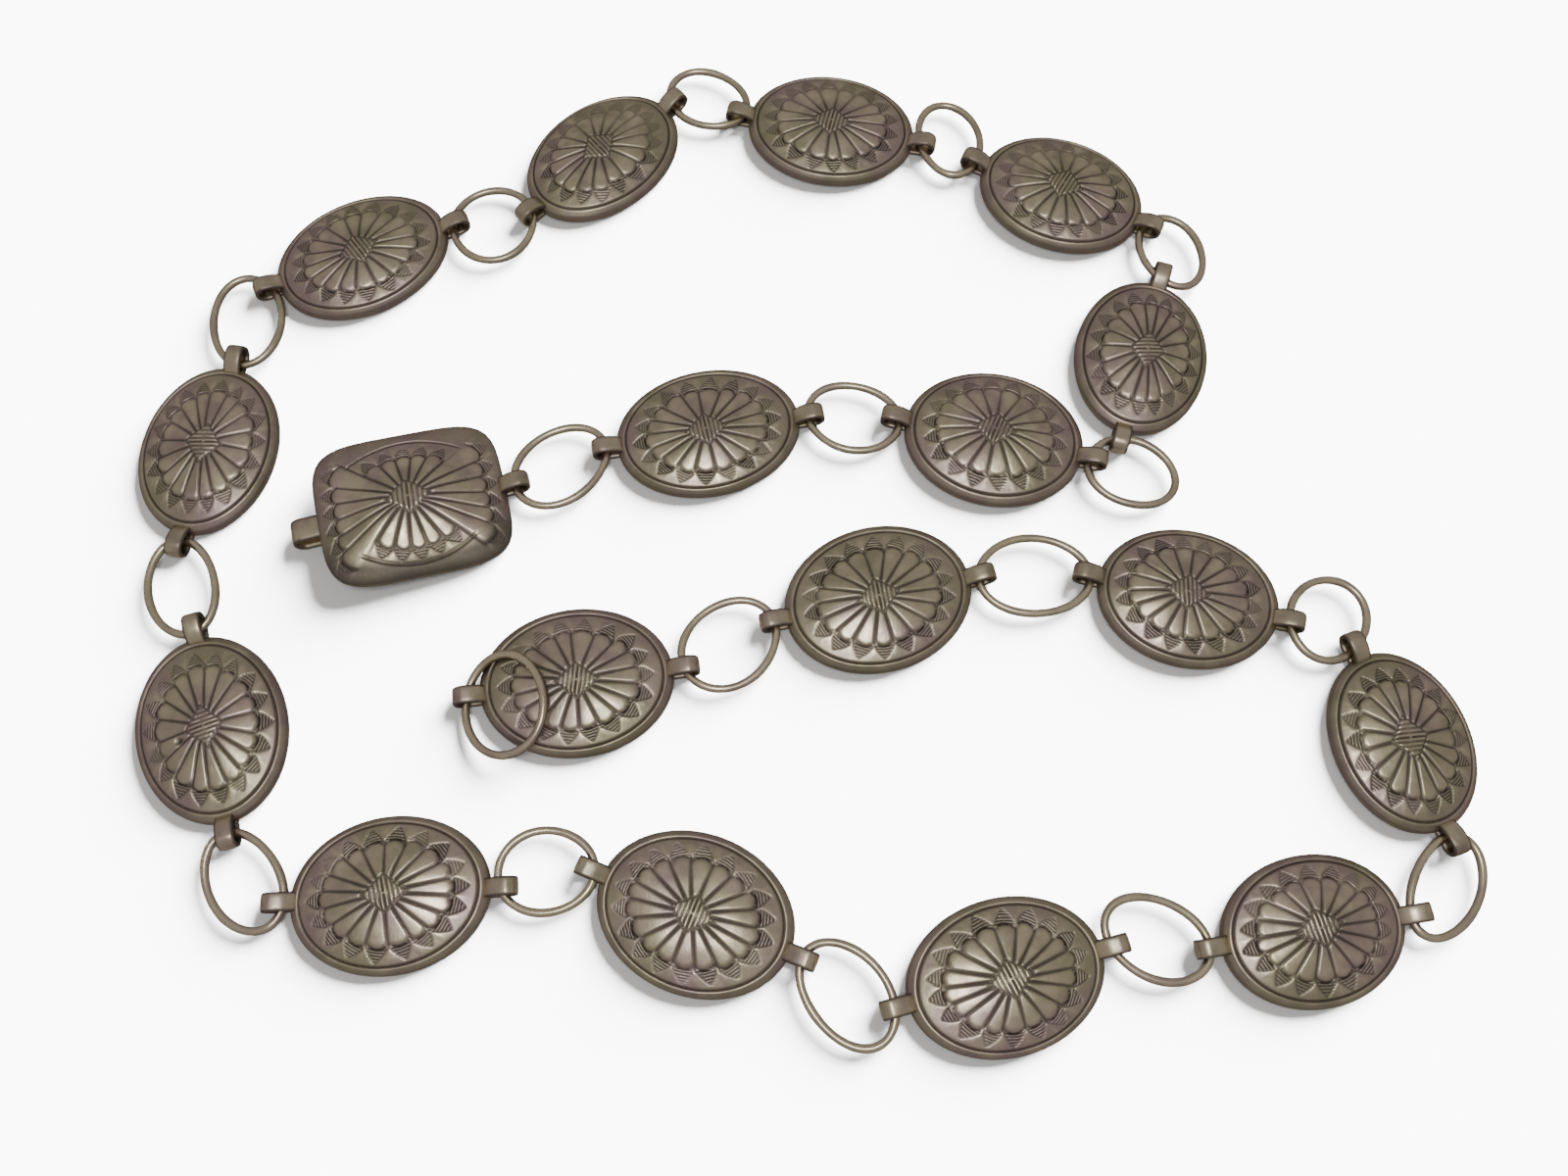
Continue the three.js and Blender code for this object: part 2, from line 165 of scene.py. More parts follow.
def grid_quads(i, j, i_next, j_next, cols):
    """Quads between each row and column of a grid and the next ones."""
    corners = [i * cols + j, i_next * cols + j, i_next * cols + j_next, i * cols + j_next]
    return np.stack(corners, -1).reshape(-1, 4)


def sheet(points, tarnish_and_shade, wear_and_sheen):
    """Closed surface over a grid of rows by columns, whose columns meet again.

    Each row is one closed line of points. A pole, one point in the row's middle, closes the first
    row and another the last.
    """
    rows, cols = points.shape[:2]
    verts = points.reshape(-1, 3)
    marks = np.stack([tarnish_and_shade.reshape(-1), wear_and_sheen.reshape(-1)], -1)
    i, j = np.meshgrid(np.arange(rows - 1), np.arange(cols), indexing="ij")
    quads = grid_quads(i, j, i + 1, (j + 1) % cols, cols)
    tris = []
    for row, flip in ((0, False), (rows - 1, True)):
        pole = len(verts)
        verts = np.vstack([verts, points[row].mean(0)])
        marks = np.vstack([marks, [tarnish_and_shade[row].mean(), wear_and_sheen[row].mean()]])
        a = row * cols + np.arange(cols)
        b = row * cols + (np.arange(cols) + 1) % cols
        fan = np.stack([np.full(cols, pole), a, b], -1)
        tris.append(fan[:, ::-1] if flip else fan)
    quads, tris = outward(verts, quads, np.vstack(tris))
    return verts, marks, quads, tris


def laid(heading, middle, up=0.0):
    """The way from a piece's own frame to its place on the floor, as a function of points."""
    to = np.array([middle[0] + OFFSET[0], middle[1] + OFFSET[1], up])
    return lambda points: turn(points, heading) + to


def piece(name, parts, place, material):
    """One object from several closed surfaces. place maps points in millimetres to their place."""
    verts, marks, faces, base = [], [], [], 0
    for v, m, q, t in parts:
        verts.append(v)
        marks.append(m)
        faces += (q + base).tolist() + (t + base).tolist()
        base += len(v)
    local = np.vstack(verts)
    mesh = bpy.data.meshes.new(name)
    mesh.from_pydata((place(local) * MM).tolist(), [], faces)
    marks = np.vstack(marks)
    # Two marks: tarnish together with painted shade, and wear together with a painted highlight
    for index, label in enumerate(("tarnish_and_shade", "wear_and_sheen")):
        layer = mesh.attributes.new(label, "FLOAT", "POINT")
        layer.data.foreach_set("value", np.ascontiguousarray(marks[:, index], np.float32))
    corner = np.zeros(len(mesh.loops), np.int32)
    mesh.loops.foreach_get("vertex_index", corner)
    flat = mesh.uv_layers.new(name="flat")
    flat.data.foreach_set("uv", (local[corner][:, :2] / 50 + 0.5).astype(np.float32).ravel())
    mesh.polygons.foreach_set("use_smooth", np.ones(len(mesh.polygons), bool))
    mesh.materials.append(material)
    mesh.update()
    obj = bpy.data.objects.new(name + "_made", mesh)
    bpy.context.scene.collection.objects.link(obj)
    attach(obj, "root")
    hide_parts(name)


# Plates

def step(lo, hi, x):
    """Smooth step from 0 at lo to 1 at hi."""
    t = np.clip((x - lo) / (hi - lo), 0, 1)
    return t * t * (3 - 2 * t)


def bump(x, width):
    """Bell of height 1 and that half width."""
    return np.exp(-(x / width) ** 2)


def outline(angle, half, power):
    """Distance of the outline |x/a|^p + |y/b|^p = 1 from its middle in a direction."""
    across, up = np.abs(np.cos(angle) / half[0]), np.abs(np.sin(angle) / half[1])
    return (across ** power + up ** power) ** (-1 / power)


def stamped(r, angle, col, petals, look):
    """Height of the stamping over the plain dome, how dark it is and how bright with wear.

    r and angle are polar places in the stamping's own frame. petals gives each petal's direction,
    its length, and the grooves beside it; col is each column's petal. Across a petal, v runs
    from -1 to 1 between its two grooves. Each petal is a round back that ends in a half circle.
    A crescent is punched around that end, and beyond it a triangle with lines across it. The middle
    is a lozenge with bars. Towards the direction up, faded is the share lost to wear.
    """
    x, y = r * np.cos(angle), r * np.sin(angle)
    length = petals["length"][col]
    mid, lo, hi = petals["mid"][col], petals["lo"][col], petals["hi"][col]
    v = np.where(angle > mid, (angle - mid) / (hi - mid), (angle - mid) / (mid - lo))
    v = np.clip(v, -1, 1)
    half = 0.5 * (hi - lo) * r
    rx, ry = look["lozenge"]
    lean = math.radians(look["lean"])
    m = np.abs(x) / rx + np.abs(y) / ry
    start = step(0.98, 1.12, m)
    past = r - length
    # petals and the grooves between them
    end = -past - np.minimum(half, 1.7) * (1 - np.sqrt(np.clip(1 - 0.92 * v * v, 0, 1)))
    inside = step(-0.1, 0.75, end)
    along = np.clip(r / length, 0, 1.2)
    groove_width = 0.36 - 0.17 * along
    groove = bump((1 - np.abs(v)) * half, groove_width) * start * (1 - step(0.96, 1.06, along))
    back = np.sqrt(np.clip(1 - v * v, 0, 1))
    height = look["puff"] * back * inside * step(1.1, 2.6, m) - GROOVE * groove
    # crescent and triangle
    side = np.abs(v) * half
    reach = look["stamp"]
    base = np.minimum(0.93 * half, look["stamp_half"])
    tri = base * (1 - np.clip(past / reach, 0, 1) ** 1.25)
    crescent = bump(end + 0.22, 0.19) * (1 - step(0.8, 0.98, np.abs(v)))
    crescent = crescent * (past > -2.2) * (m > 1.3)
    within = (past > -0.25) * (past < reach) * (1 - step(-0.10, 0.10, side - tri)) * (end < -0.2)
    lines = (0.5 + 0.5 * np.cos(2 * np.pi * (past - 0.25) / LINE_PITCH)) ** 1.4
    edge = bump(side - tri, 0.16) * (past > 0.0) * (past < reach + 0.1)
    depth = petals["depth"][col]
    tent = step(0.5, 0.95, np.abs(v)) * step(-0.6, 0.5, past)
    tent = tent * (1 - step(0.6 * reach, 1.15 * reach, past))
    punched = -CRESCENT * crescent - within * (TRIANGLE + LINES * lines) - EDGE * edge
    height += depth * punched + TENT * tent
    # lozenge
    across = x * math.cos(lean) + y * math.sin(lean)
    bars = (0.5 + 0.5 * np.cos(2 * np.pi * across / look["bar"])) ** 1.6
    inner = 1 - step(0.88, 0.97, m)
    ring = bump((m - 1.0) * rx * ry / math.hypot(rx, ry), 0.19)
    height += inner * (BARS_UP - BARS * bars) - LOZENGE * ring
    # dark and rubbed shares
    tarnish_and_shade = np.maximum.reduce([
        0.9 * groove, depth * 0.95 * crescent, depth * within * (0.05 + 0.85 * lines),
        depth * 0.7 * edge, inner * bars * 0.85, 0.85 * ring,
    ])
    wear_and_sheen = back * inside * step(1.2, 2.4, m) * 0.7 + 0.6 * tent + inner * (1 - bars) * 0.7
    wear_and_sheen = np.clip(wear_and_sheen, 0, 1)
    far_side = step(-0.3, 0.8, np.cos(angle - look["up"])) * step(3.0, 8.0, r)
    left = 1 - look["faded"] * far_side
    return height * left, tarnish_and_shade * left, wear_and_sheen * (1 - tarnish_and_shade)


def plate(sizes, shares, petals_of, look, extra):
    """Closed beaten shell on polar rows, from its crown down to the rim, under it and up inside.

    The plain dome is rim + rise * (1 - s^fall)^brow, with s the share of the way to the outline. A
    smooth bulge that ends at foot stands on it. Its middle is moved off by look["shift"], fading as
    1 - s^2. Columns are spaced so that the grooves between petals fall on them.
    """
    half = np.array([sizes["length"] * shares[0], sizes["breadth"] * shares[1]]) / 2
    power = sizes["power"]
    petals = petals_of(half, power)
    fine = look["columns"]
    sub = np.arange(fine) / fine
    lo, mid, hi = petals["lo"], petals["mid"], petals["hi"]
    first_half = lo[:, None] + (mid - lo)[:, None] * sub[None] * 2
    second_half = mid[:, None] + (hi - mid)[:, None] * (sub[None] - 0.5) * 2
    angle = np.where(sub[None] < 0.5, first_half, second_half).ravel()
    col = np.repeat(np.arange(len(mid)), fine)
    radius = outline(angle, half, power)
    bands = [np.linspace(first, last, count)[:-1] for first, last, count in look["rows"]]
    s = np.concatenate(bands + [np.array(EDGE_ROWS)])[:, None]
    r = s * radius[None]
    a = np.broadcast_to(angle[None], r.shape)
    c = np.broadcast_to(col[None], r.shape)
    rise = sizes["height"] - sizes["rim"] - look["bulge"]
    plain = sizes["rim"] + rise * (1 - s ** look["fall"]) ** look["brow"]
    plain = plain + look["bulge"] * (1 - step(0.08, look["foot"], s))
    height, tarnish_and_shade, wear_and_sheen = stamped(r, a, c, petals, look)
    x = look["shift"][0] * (1 - s * s) + r * np.cos(a)
    y = look["shift"][1] * (1 - s * s) + r * np.sin(a)
    more, dark, bright = extra(x, y, s, radius[None])
    wave = look["wave"]
    ripple = np.sin(0.31 * x + 0.17 * y + wave[0]) + np.sin(-0.21 * x + 0.37 * y + wave[1])
    z = plain + height + more + UNEVEN * ripple * (1 - s ** 4)
    tarnish_and_shade = np.clip(np.maximum(tarnish_and_shade, dark), 0, 1)
    wear_and_sheen = np.clip(np.maximum(wear_and_sheen, bright), 0, 1)
    rows, marks, shine = [np.stack([x, y, z], -1)], [tarnish_and_shade], [wear_and_sheen]

    def add(reach, level, mark):
        """One more row, at that reach and height, with that share of painted shade."""
        flat = np.full(len(angle), level)
        rows.append(np.stack([reach * np.cos(angle), reach * np.sin(angle), flat], -1)[None])
        marks.append(np.full((1, len(angle)), mark))
        shine.append(np.zeros((1, len(angle))))

    rim, wall = sizes["rim"], sizes["wall"]
    # Rows down the rim's side, under the rim and up inside, darkened as painted shade.
    for level in (rim * 0.85, rim * 0.5, rim * 0.18):
        add(radius, level, 0.4)
    add(radius - 0.12, 0.03, 0.8)
    add(radius - wall + 0.12, 0.03, 0.5)
    add(radius - wall, 0.2, 0.6)
    inner_rise = sizes["height"] - wall - rim + 0.5
    for share in INNER_ROWS:
        add(share * (radius - wall), rim - 0.5 + inner_rise * (1 - (share / 0.97) ** 2) ** 0.6, 0.6)
    return sheet(np.concatenate(rows), np.concatenate(marks), np.concatenate(shine))


def oval_petals(half, power):
    """Eighteen petals, even round the oval when it is squeezed to a circle, each a little off."""
    count = 18
    edge = (np.arange(count + 1) - 0.5) * 2 * np.pi / count
    edge[:-1] += rng.normal(0, 0.016, count)
    edge[-1] = edge[0] + 2 * np.pi
    true = np.arctan2(half[1] * np.sin(edge), half[0] * np.cos(edge))
    true = np.unwrap(true)
    lo, hi = true[:-1], true[1:]
    mid = (lo + hi) / 2 + rng.normal(0, 0.006, count)
    length = outline(mid, half, power) * (0.66 + rng.normal(0, 0.008, count))
    depth = np.clip(rng.normal(1, 0.16, count), 0.5, 1.3)
    return dict(lo=lo, hi=hi, mid=mid, length=length, depth=depth)


def buckle_petals(half, power):
    """Six petals to each side of the rectangle and five up and down, longest to the corners.

    The petals' ends are laid out first, and their directions and lengths follow.
    """
    side_y = np.linspace(9.0, -10.4, 6)
    flat_x = np.linspace(-7.0, 7.4, 5)
    ends = [(16.0 - 0.0048 * (y + 1) ** 2, y) for y in side_y[::-1]]
    ends += [(x, 10.8 - 0.03 * x * x) for x in flat_x[::-1]]
    ends += [(-15.8 + 0.0048 * (y + 1) ** 2, y) for y in side_y]
    ends += [(x, -10.8 + 0.03 * x * x) for x in flat_x]
    ends = np.array(ends) - [0.0, 0.6]
    mid = np.unwrap(np.arctan2(ends[:, 1], ends[:, 0]))
    length = np.hypot(ends[:, 0], ends[:, 1]) - 0.9
    edge = (mid + np.append(mid[1:], mid[0] + 2 * np.pi)) / 2
    lo = np.append(edge[-1] - 2 * np.pi, edge[:-1])
    return dict(lo=lo, hi=edge, mid=mid, length=length, depth=np.ones(len(mid)))


def oval_extra(name):
    """The border groove near the oval's edge, its raised lip, and a hole and crease in one plate."""
    def extra(x, y, s, radius):
        away = (s - 0.895) * radius
        groove, lip = bump(away, 0.20), bump(away - 0.55, 0.32)
        more = -BORDER * groove + LIP * lip
        # Painted shade on the steep outer edge; the border band is darkened partly for its own
        # darker tone and partly as painted shade.
        rim_dark = 0.20 * step(0.915, 0.94, s) + 0.2 * step(0.97, 0.995, s)
        dark = np.maximum(0.95 * groove, rim_dark)
        if name == "concho_09":
            hole = bump(np.hypot(x - 1.5, y + 5.2), 0.65)
            crease = bump(np.hypot((x + 7.5) * 0.8, y + 6.0), 2.6)
            more = more - HOLE * hole - CREASE * crease
            dark = np.maximum(dark, hole)
        return more, dark, 0.55 * lip
    return extra


def buckle_extra(x, y, s, radius):
    """A curved groove over the upper petals, two close ones under the lower, and a skirt darkened as
    painted shade.
    """
    fade = 1 - step(10.6, 11.8, np.abs(x))
    upper = bump(y - (12.9 - 0.027 * x * x), 0.22)
    outer = bump(y + (13.6 - 0.029 * x * x), 0.2)
    inner = 0.7 * bump(y + (13.1 - 0.029 * x * x), 0.15)
    both = np.maximum(upper, np.maximum(outer, inner)) * fade
    # Painted shade on the skirt outside the arcs, strongest on its lower side, and on the steep
    # outer edge.
    skirt = step(0.72, 0.86, s) * (0.12 + 0.6 * step(2.0, 11.0, -y))
    dark = np.maximum(np.maximum(0.9 * both, skirt), 0.35 * step(0.93, 0.99, s))
    return -ARCS * both, dark, np.zeros_like(x)


# Straps and wire

def strap(path, breadth, thickness, belly=0.0):
    """Flat strap along a path given as (x, z): a rounded bar section carried along its middle line.

    The section is |u|^4 + |v|^4 = 1, stretched to the breadth and thickness. belly narrows the
    strap's ends.
    """
    path = np.array(path, float)
    seg = np.hypot(*np.diff(path, axis=0).T)
    at = np.concatenate([[0], np.cumsum(seg)])
    tan = np.gradient(path, at, axis=0)
    tan /= np.hypot(tan[:, 0], tan[:, 1])[:, None]
    nor = np.stack([-tan[:, 1], tan[:, 0]], -1)
    t = np.linspace(0, 2 * np.pi, 20, endpoint=False)
    size = (np.abs(np.cos(t)) ** 4 + np.abs(np.sin(t)) ** 4) ** -0.25
    u, v = size * np.cos(t), size * np.sin(t)
    width = breadth / 2 * (1 - belly * (2 * at / at[-1] - 1) ** 2)
    mid = path[:, None]
    xz = mid + nor[:, None] * (v * thickness / 2)[None, :, None]
    y = width[:, None] * u[None]
    points = np.stack([xz[..., 0], y, xz[..., 1]], -1)
    # The strap's narrow sides are darkened as painted shade; its broad faces are bright with wear.
    edge = np.broadcast_to(np.where(np.abs(u) > 0.93, 0.75, 0.1), y.shape)
    return sheet(points, edge, np.broadcast_to(0.9 * (np.abs(u) < 0.9), y.shape))


def rounded(points):
    """A path with its corners rounded by cutting them three times."""
    p = np.array(points, float)
    for _ in range(3):
        q = 0.75 * p[:-1] + 0.25 * p[1:]
        r = 0.25 * p[:-1] + 0.75 * p[1:]
        mid = np.empty((2 * len(q), 2))
        mid[0::2], mid[1::2] = q, r
        p = np.vstack([p[:1], mid, p[-1:]])
    return p


def loop_strap(end, way):
    """Strap loop at the rim: along the surface, round the nose, back over the wire to the plate."""
    t = LOOP["thickness"]
    mid = LOOP["height"] / 2
    r = mid - t / 2
    nose = LOOP["reach"] - mid
    arc = np.linspace(-np.pi / 2, np.pi / 2, 11)
    path = [(-1.3, t / 2)] + [(nose + r * math.cos(q), mid + r * math.sin(q)) for q in arc]
    path += [(1.2, 4.05), (-0.1, 3.3), (-0.9, 2.6)]
    v, m, q, f = strap(rounded(path), LOOP["breadth"], t * 0.96)
    v = v + [end, 0, 0]
    if way < 0:
        v = v * [-1, -1, 1]
    return v, m, q, f


def hook_strap(foot):
    """Hook at the buckle's far side: out from under the plate, round the nose and back below it."""
    t = HOOK["thickness"]
    mid = t + HOOK["mouth"] / 2
    r = mid - t / 2
    nose = HOOK["reach"] - t - HOOK["mouth"] / 2
    arc = np.linspace(-np.pi / 2, np.pi / 2, 13)
    path = [(-HOOK["leg"], t / 2)] + [(nose + r * math.cos(q), mid + r * math.sin(q)) for q in arc]
    path += [(-4.0, 2 * mid - t / 2)]
    v, m, q, f = strap(rounded(path), HOOK["breadth"], t, 0.08)
    return v * [-1, -1, 1] + [foot, 0, 0], m, q, f


def wire(half, wave):
    """Oval ring of round wire. The wire swells and dips a little as it goes round."""
    t = np.linspace(0, 2 * np.pi, 72, endpoint=False)
    mid = np.stack([half[0] * np.cos(t), half[1] * np.sin(t), 0.06 * np.sin(2 * t + wave)], -1)
    out = np.stack([half[1] * np.cos(t), half[0] * np.sin(t), 0 * t], -1)
    out /= np.linalg.norm(out, axis=1)[:, None]
    mid = mid + out * (0.10 * np.sin(3 * t + wave))[:, None]
    swell = 0.035 * np.sin(5 * t + 2 * wave) + 0.05 * bump(t - 1.0 - wave % 4, 0.12)
    r = (RING["wire"] / 2 - 0.03) * (1 + swell)
    q = np.linspace(0, 2 * np.pi, 14, endpoint=False)
    points = (mid[:, None] + out[:, None] * (r[:, None] * np.cos(q))[..., None]
              + np.array([0, 0, 1.0]) * (r[:, None] * np.sin(q))[..., None])
    rows, cols = points.shape[:2]
    verts = points.reshape(-1, 3)
    i, j = np.meshgrid(np.arange(rows), np.arange(cols), indexing="ij")
    quads = grid_quads(i, j, (i + 1) % rows, (j + 1) % cols, cols)
    quads, tris = outward(verts, quads, np.zeros((0, 3), int))
    # Painted shade under the wire and a painted highlight along its top.
    tarnish_and_shade, wear_and_sheen = np.clip(0.55 - 0.75 * np.sin(q), 0, 0.9), 0.7 * np.clip(np.sin(q), 0, 1)
    return verts, np.tile(np.stack([tarnish_and_shade, wear_and_sheen], -1), (rows, 1)), quads, tris


def rim_reach(sizes, shares, turned):
    """How far a rim is from its middle, on the line through its two loops."""
    half = np.array([sizes["length"] * shares[0], sizes["breadth"] * shares[1]]) / 2
    return float(outline(math.radians(-turned), half, sizes["power"]))


def seat_of(row, way, share):
    """Where a ring runs through the exit (1) or entry (-1) loop of a piece."""
    name, x, y, heading, turned, length, breadth = row
    sizes = PLATE if name == "buckle" else OVAL
    reach = rim_reach(sizes, (length, breadth), turned) + share * LOOP["reach"]
    h = math.radians(heading)
    return np.array([x * PITCH + way * reach * math.cos(h), y * PITCH + way * reach * math.sin(h)])


def ring_middle(start, stop, lie, side, half):
    """Middle of the oval through two seats: squeezed to a circle, it is square to their chord."""
    h = math.radians(lie)
    way = np.array([[math.cos(h), math.sin(h)], [-math.sin(h), math.cos(h)]])
    p, q = way @ start / half, way @ stop / half
    chord = q - p
    rise = math.sqrt(max(0.0, 1 - chord @ chord / 4))
    square = np.array([-chord[1], chord[0]]) / math.hypot(*chord)
    return way.T @ ((p + chord / 2 + square * side * rise) * half)


# Materials

def node(tree, kind, values=(), **settings):
    """A node with its settings, and its inputs set by name or number."""
    made = tree.nodes.new(kind)
    for key, value in settings.items():
        setattr(made, key, value)
    for key, value in values:
        if isinstance(value, bpy.types.NodeSocket):
            tree.links.new(value, made.inputs[key])
        else:
            made.inputs[key].default_value = value
    return made


def silver_group():
    """Tarnished silver: dark in the stamping, bright with wear on what stands out.

    Colour runs from black tarnish, which also serves as painted shade on the rims, the buckle's
    skirt, the straps' sides and the wire's underside, through a warm grey skin to bare metal, which
    also serves as a painted highlight along the wire's top. Wide clouds lean the skin towards olive
    or purple brown, and fine clouds and short scratches break it up.
    """
    tree = bpy.data.node_groups.new("tarnished silver", "ShaderNodeTree")
    face = tree.interface
    for name in ("TarnishAndShade", "WearAndSheen", "Polish"):
        face.new_socket(name, in_out="INPUT", socket_type="NodeSocketFloat")
    face.new_socket("Colour", in_out="OUTPUT", socket_type="NodeSocketColor")
    for name in ("Roughness", "Height"):
        face.new_socket(name, in_out="OUTPUT", socket_type="NodeSocketFloat")
    given = tree.nodes.new("NodeGroupInput").outputs

    def noise(vector, scale, detail):
        values = (("Vector", vector), ("Scale", scale), ("Detail", detail))
        return node(tree, "ShaderNodeTexNoise", values).outputs["Fac"]

    def spread(value, lo, hi):
        values = (("Value", value), ("From Min", lo), ("From Max", hi))
        return node(tree, "ShaderNodeMapRange", values).outputs["Result"]

    def maths(how, a, b):
        return node(tree, "ShaderNodeMath", ((0, a), (1, b)), operation=how).outputs["Value"]

    def blend(amount, a, b):
        made = node(tree, "ShaderNodeMix", data_type="RGBA")
        for key, value in (("Factor", amount), ("A", a), ("B", b)):
            socket = [s for s in made.inputs if s.name == key and s.enabled][0]
            if isinstance(value, bpy.types.NodeSocket):
                tree.links.new(value, socket)
            else:
                socket.default_value = value
        return [s for s in made.outputs if s.enabled][0]

    place = node(tree, "ShaderNodeTexCoord").outputs["Object"]
    wide, cloud, grain = noise(place, 70.0, 3.0), noise(place, 210.0, 4.0), noise(place, 1100.0, 3.0)
    streaks = (("Vector", place), ("Scale", (2600.0, 260.0, 600.0)), ("Rotation", (0.0, 0.0, 0.6)))
    scratch = noise(node(tree, "ShaderNodeMapping", streaks).outputs["Vector"], 1.0, 2.0)

    skin = blend(spread(wide, 0.42, 0.58), PURPLE_BROWN, OLIVE)
    skin = blend(maths("MULTIPLY", spread(cloud, 0.38, 0.66), 0.6), skin, CLOUD)
    # Bright bare metal from wear, which on the wire's top is a painted highlight
    rubbed_and_sheen = maths("MULTIPLY", given["WearAndSheen"], spread(cloud, 0.25, 0.65))
    rubbed_and_sheen = maths("MINIMUM", maths("ADD", maths("MULTIPLY", rubbed_and_sheen, 0.6), given["Polish"]), 1.0)
    skin = blend(rubbed_and_sheen, skin, BARE_AND_SHEEN)
    # Share of dark: tarnish in the stamping, painted shade on rims, skirt, straps and wire
    darkening = maths("MINIMUM", maths("MULTIPLY", given["TarnishAndShade"], 1.05), 1.0)
    skin = blend(darkening, skin, TARNISH_AND_SHADE)
    rough = maths("ADD", maths("MULTIPLY", grain, 0.16), 0.30)
    rough = maths("ADD", rough, maths("MULTIPLY", darkening, 0.25))
    rough = maths("SUBTRACT", rough, maths("MULTIPLY", rubbed_and_sheen, 0.2))
    height = maths("ADD", maths("MULTIPLY", grain, 0.4), maths("MULTIPLY", scratch, 0.4))
    height = maths("ADD", height, maths("MULTIPLY", cloud, 0.8))
    out = tree.nodes.new("NodeGroupOutput").inputs
    for key, value in (("Colour", skin), ("Roughness", rough), ("Height", height)):
        tree.links.new(value, out[key])
    return tree


def silver(name, group, polish, rough_up):
    """Metal that takes its colour, roughness and fine unevenness from the group."""
    material = bpy.data.materials.new(name)
    material.use_nodes = True
    tree = material.node_tree
    shader = tree.nodes["Principled BSDF"]
    shader.inputs["Metallic"].default_value = 1.0
    shader.inputs["Specular Tint"].default_value = (0.6, 0.56, 0.5, 1)
    made = node(tree, "ShaderNodeGroup", node_tree=group)
    for socket, label in (("TarnishAndShade", "tarnish_and_shade"), ("WearAndSheen", "wear_and_sheen")):
        mark = node(tree, "ShaderNodeAttribute", attribute_name=label)
        tree.links.new(mark.outputs["Fac"], made.inputs[socket])
    made.inputs["Polish"].default_value = polish
    values = (("Strength", rough_up), ("Distance", 0.00012), ("Height", made.outputs["Height"]))
    rise = node(tree, "ShaderNodeBump", values)
    tree.links.new(made.outputs["Colour"], shader.inputs["Base Color"])
    tree.links.new(made.outputs["Roughness"], shader.inputs["Roughness"])
    tree.links.new(rise.outputs["Normal"], shader.inputs["Normal"])
    return material


GROUP = silver_group()
PLATE_SILVER = silver("plate silver", GROUP, 0.0, 0.32)
RING_SILVER = silver("ring silver", GROUP, 0.2, 0.12)


# The belt

def concho(row):
    """An oval plate and its two loops."""
    name, x, y, heading, turned, length, breadth = row
    look = dict(
        columns=14, rows=((0.02, 0.3, 17), (0.3, 0.66, 15), (0.66, 0.86, 29), (0.86, 0.94, 12)),
        lozenge=(4.3, 3.5), lean=rng.uniform(-12, 12), bar=0.86, stamp=2.8, stamp_half=1.95,
        puff=0.08, bulge=0.7, foot=0.84, fall=2, brow=0.5,
        faded=FADED.get(name, 0.0), up=math.radians(90 - heading - turned),
        shift=rng.normal(0, 0.35, 2), wave=rng.uniform(0, 6, 2),
    )
    v, m, q, t = plate(OVAL, (length, breadth), oval_petals, look, oval_extra(name))
    shell = (turn(v, turned) + [0, 0, FOOT], m, q, t)
    end = rim_reach(OVAL, (length, breadth), turned)
    parts = [shell, loop_strap(end, 1), loop_strap(end, -1)]
    piece(name, parts, laid(heading, (x * PITCH, y * PITCH)), PLATE_SILVER)


def buckle(row):
    """The rectangular plate, which leans on its hook, with one loop."""
    name, x, y, heading, _, length, breadth = row
    look = dict(
        columns=14, rows=((0.02, 0.3, 17), (0.3, 0.5, 9), (0.5, 0.94, 66)),
        lozenge=(4.6, 3.5), lean=-3.0, bar=0.98, stamp=2.4, stamp_half=1.6,
        puff=0.12, bulge=2.2, foot=0.82, fall=8, brow=0.8, faded=0.0, up=0.0,
        shift=np.array([-0.3, 0.3]), wave=rng.uniform(0, 6, 2),
    )
    v, m, q, t = plate(PLATE, (length, breadth), buckle_petals, look, buckle_extra)
    end = PLATE["length"] / 2
    tilt = math.asin((2 * HOOK["thickness"] + HOOK["mouth"] - SOLDER - FOOT) / PLATE["length"])
    u = v[:, 0] - end
    leaned = np.stack([u * math.cos(tilt) + v[:, 2] * math.sin(tilt) + end, v[:, 1],
                       -u * math.sin(tilt) + v[:, 2] * math.cos(tilt) + FOOT], -1)
    foot = end - 2 * end * math.cos(tilt)
    parts = [(leaned, m, q, t), loop_strap(end, 1), hook_strap(foot)]
    piece(name, parts, laid(heading, (x * PITCH, y * PITCH)), PLATE_SILVER)


def end_ring():
    """The free ring, hung in the last loop and folded back on to the dome."""
    half = np.array([RING["length"] * END["length"], RING["breadth"] * END["breadth"]]) / 2
    heading = ROUTE[-1][3]
    settle = laid(heading, seat_of(ROUTE[-1], 1, END["seat"]), SEAT)
    d = math.radians(END["toward"] + 180 - END["lie"])
    reach = 1 / math.hypot(math.cos(d) / half[0], math.sin(d) / half[1])
    d = math.radians(END["toward"] - heading)
    middle = np.array([math.cos(d) * reach, math.sin(d) * reach, 0])
    c, s = math.cos(math.radians(END["tilt"])), math.sin(math.radians(END["tilt"]))

    def place(p):
        p = turn(p, END["lie"] - heading) + middle
        p = np.stack([c * p[..., 0] + s * p[..., 2], p[..., 1], -s * p[..., 0] + c * p[..., 2]], -1)
        return settle(p)

    piece(f"ring_{len(LINKS) + 1}", [wire(half, 2.0)], place, RING_SILVER)


# Camera, floor and light

camera = bpy.data.objects.new("camera", bpy.data.cameras.new("camera"))
bpy.context.scene.collection.objects.link(camera)
bpy.context.scene.camera = camera
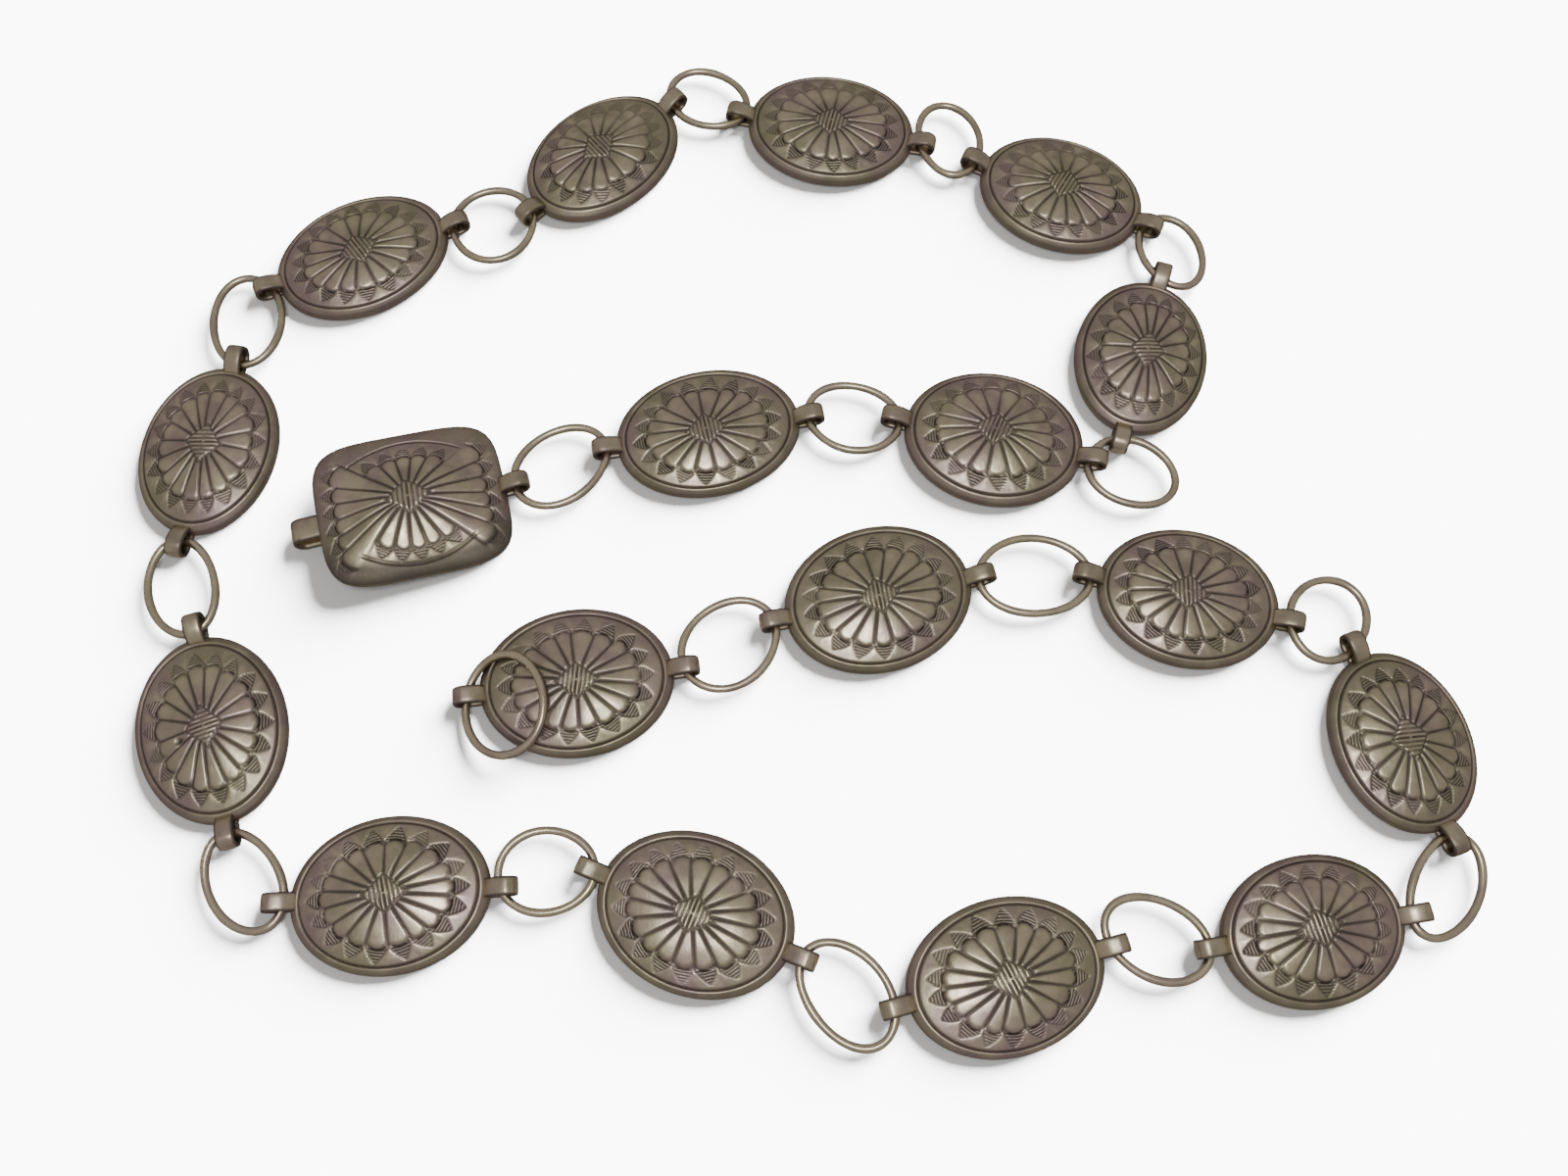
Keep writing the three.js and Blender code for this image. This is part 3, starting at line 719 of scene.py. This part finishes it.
# Focal length and photograph's width in pixels, angle above the floor and distance
FOCAL, WIDTH, TILT, AWAY = 1352, 1600, math.radians(72.26), 266.0
camera.data.sensor_width = 36
camera.data.lens = FOCAL / WIDTH * camera.data.sensor_width
camera.data.clip_start = 0.01
camera.rotation_euler = (math.pi / 2 - TILT, 0, 0)
back, up = AWAY * math.cos(TILT), AWAY * math.sin(TILT)
camera.location = np.array([OFFSET[0], OFFSET[1] - back, up]) * MM

buckle(ROUTE[0])
for row in ROUTE[1:]:
    concho(row)
for i, (lie, side, start, stop, length, breadth) in enumerate(LINKS):
    half = np.array([RING["length"] * length, RING["breadth"] * breadth]) / 2
    leave, arrive = seat_of(ROUTE[i], 1, start), seat_of(ROUTE[i + 1], -1, stop)
    place = laid(lie, ring_middle(leave, arrive, lie, side, half), SEAT)
    piece(f"ring_{i + 1:02d}", [wire(half, rng.uniform(0, 6))], place, RING_SILVER)
end_ring()

bpy.ops.mesh.primitive_plane_add(size=3, location=(0, 0, 0))
floor = bpy.context.object
floor.name = "floor"
pale = bpy.data.materials.new("pale floor")
pale.use_nodes = True
matt = pale.node_tree.nodes["Principled BSDF"].inputs
matt["Base Color"].default_value = (0.93, 0.93, 0.93, 1)
matt["Roughness"].default_value = 0.9
matt["Specular IOR Level"].default_value = 0.1
floor.data.materials.append(pale)
floor.visible_glossy = False


def lamp(name, place, power, size=None, spread=None):
    """A soft light that looks at the belt: a square of that size, or a sun that many degrees wide.

    The metal mirrors the square and not the sun.
    """
    light = bpy.data.lights.new(name, "AREA" if size else "SUN")
    if size:
        light.size = size
    else:
        light.angle = math.radians(spread)
    light.energy = power
    obj = bpy.data.objects.new(name, light)
    obj.location = place
    x, y, z = place
    obj.rotation_euler = (math.atan2(math.hypot(x, y), z), 0, math.atan2(y, x) + math.pi / 2)
    obj.visible_glossy = bool(size)
    bpy.context.scene.collection.objects.link(obj)


lamp("key", (0.46, 0.46, 0.30), 80, spread=46)
lamp("front", (-0.03, -0.13, 0.62), 0.95, size=0.15)

world = bpy.data.worlds.new("room")
bpy.context.scene.world = world
world.use_nodes = True
room = world.node_tree.nodes["Background"]
room.inputs["Color"].default_value = (1.0, 0.975, 0.94, 1)
# The camera sees a bright backdrop, and the belt is lit by a dim one.
path = node(world.node_tree, "ShaderNodeLightPath").outputs["Is Camera Ray"]
strength = (("Value", path), ("To Min", 0.35), ("To Max", 10.0))
seen = node(world.node_tree, "ShaderNodeMapRange", strength)
world.node_tree.links.new(seen.outputs["Result"], room.inputs["Strength"])
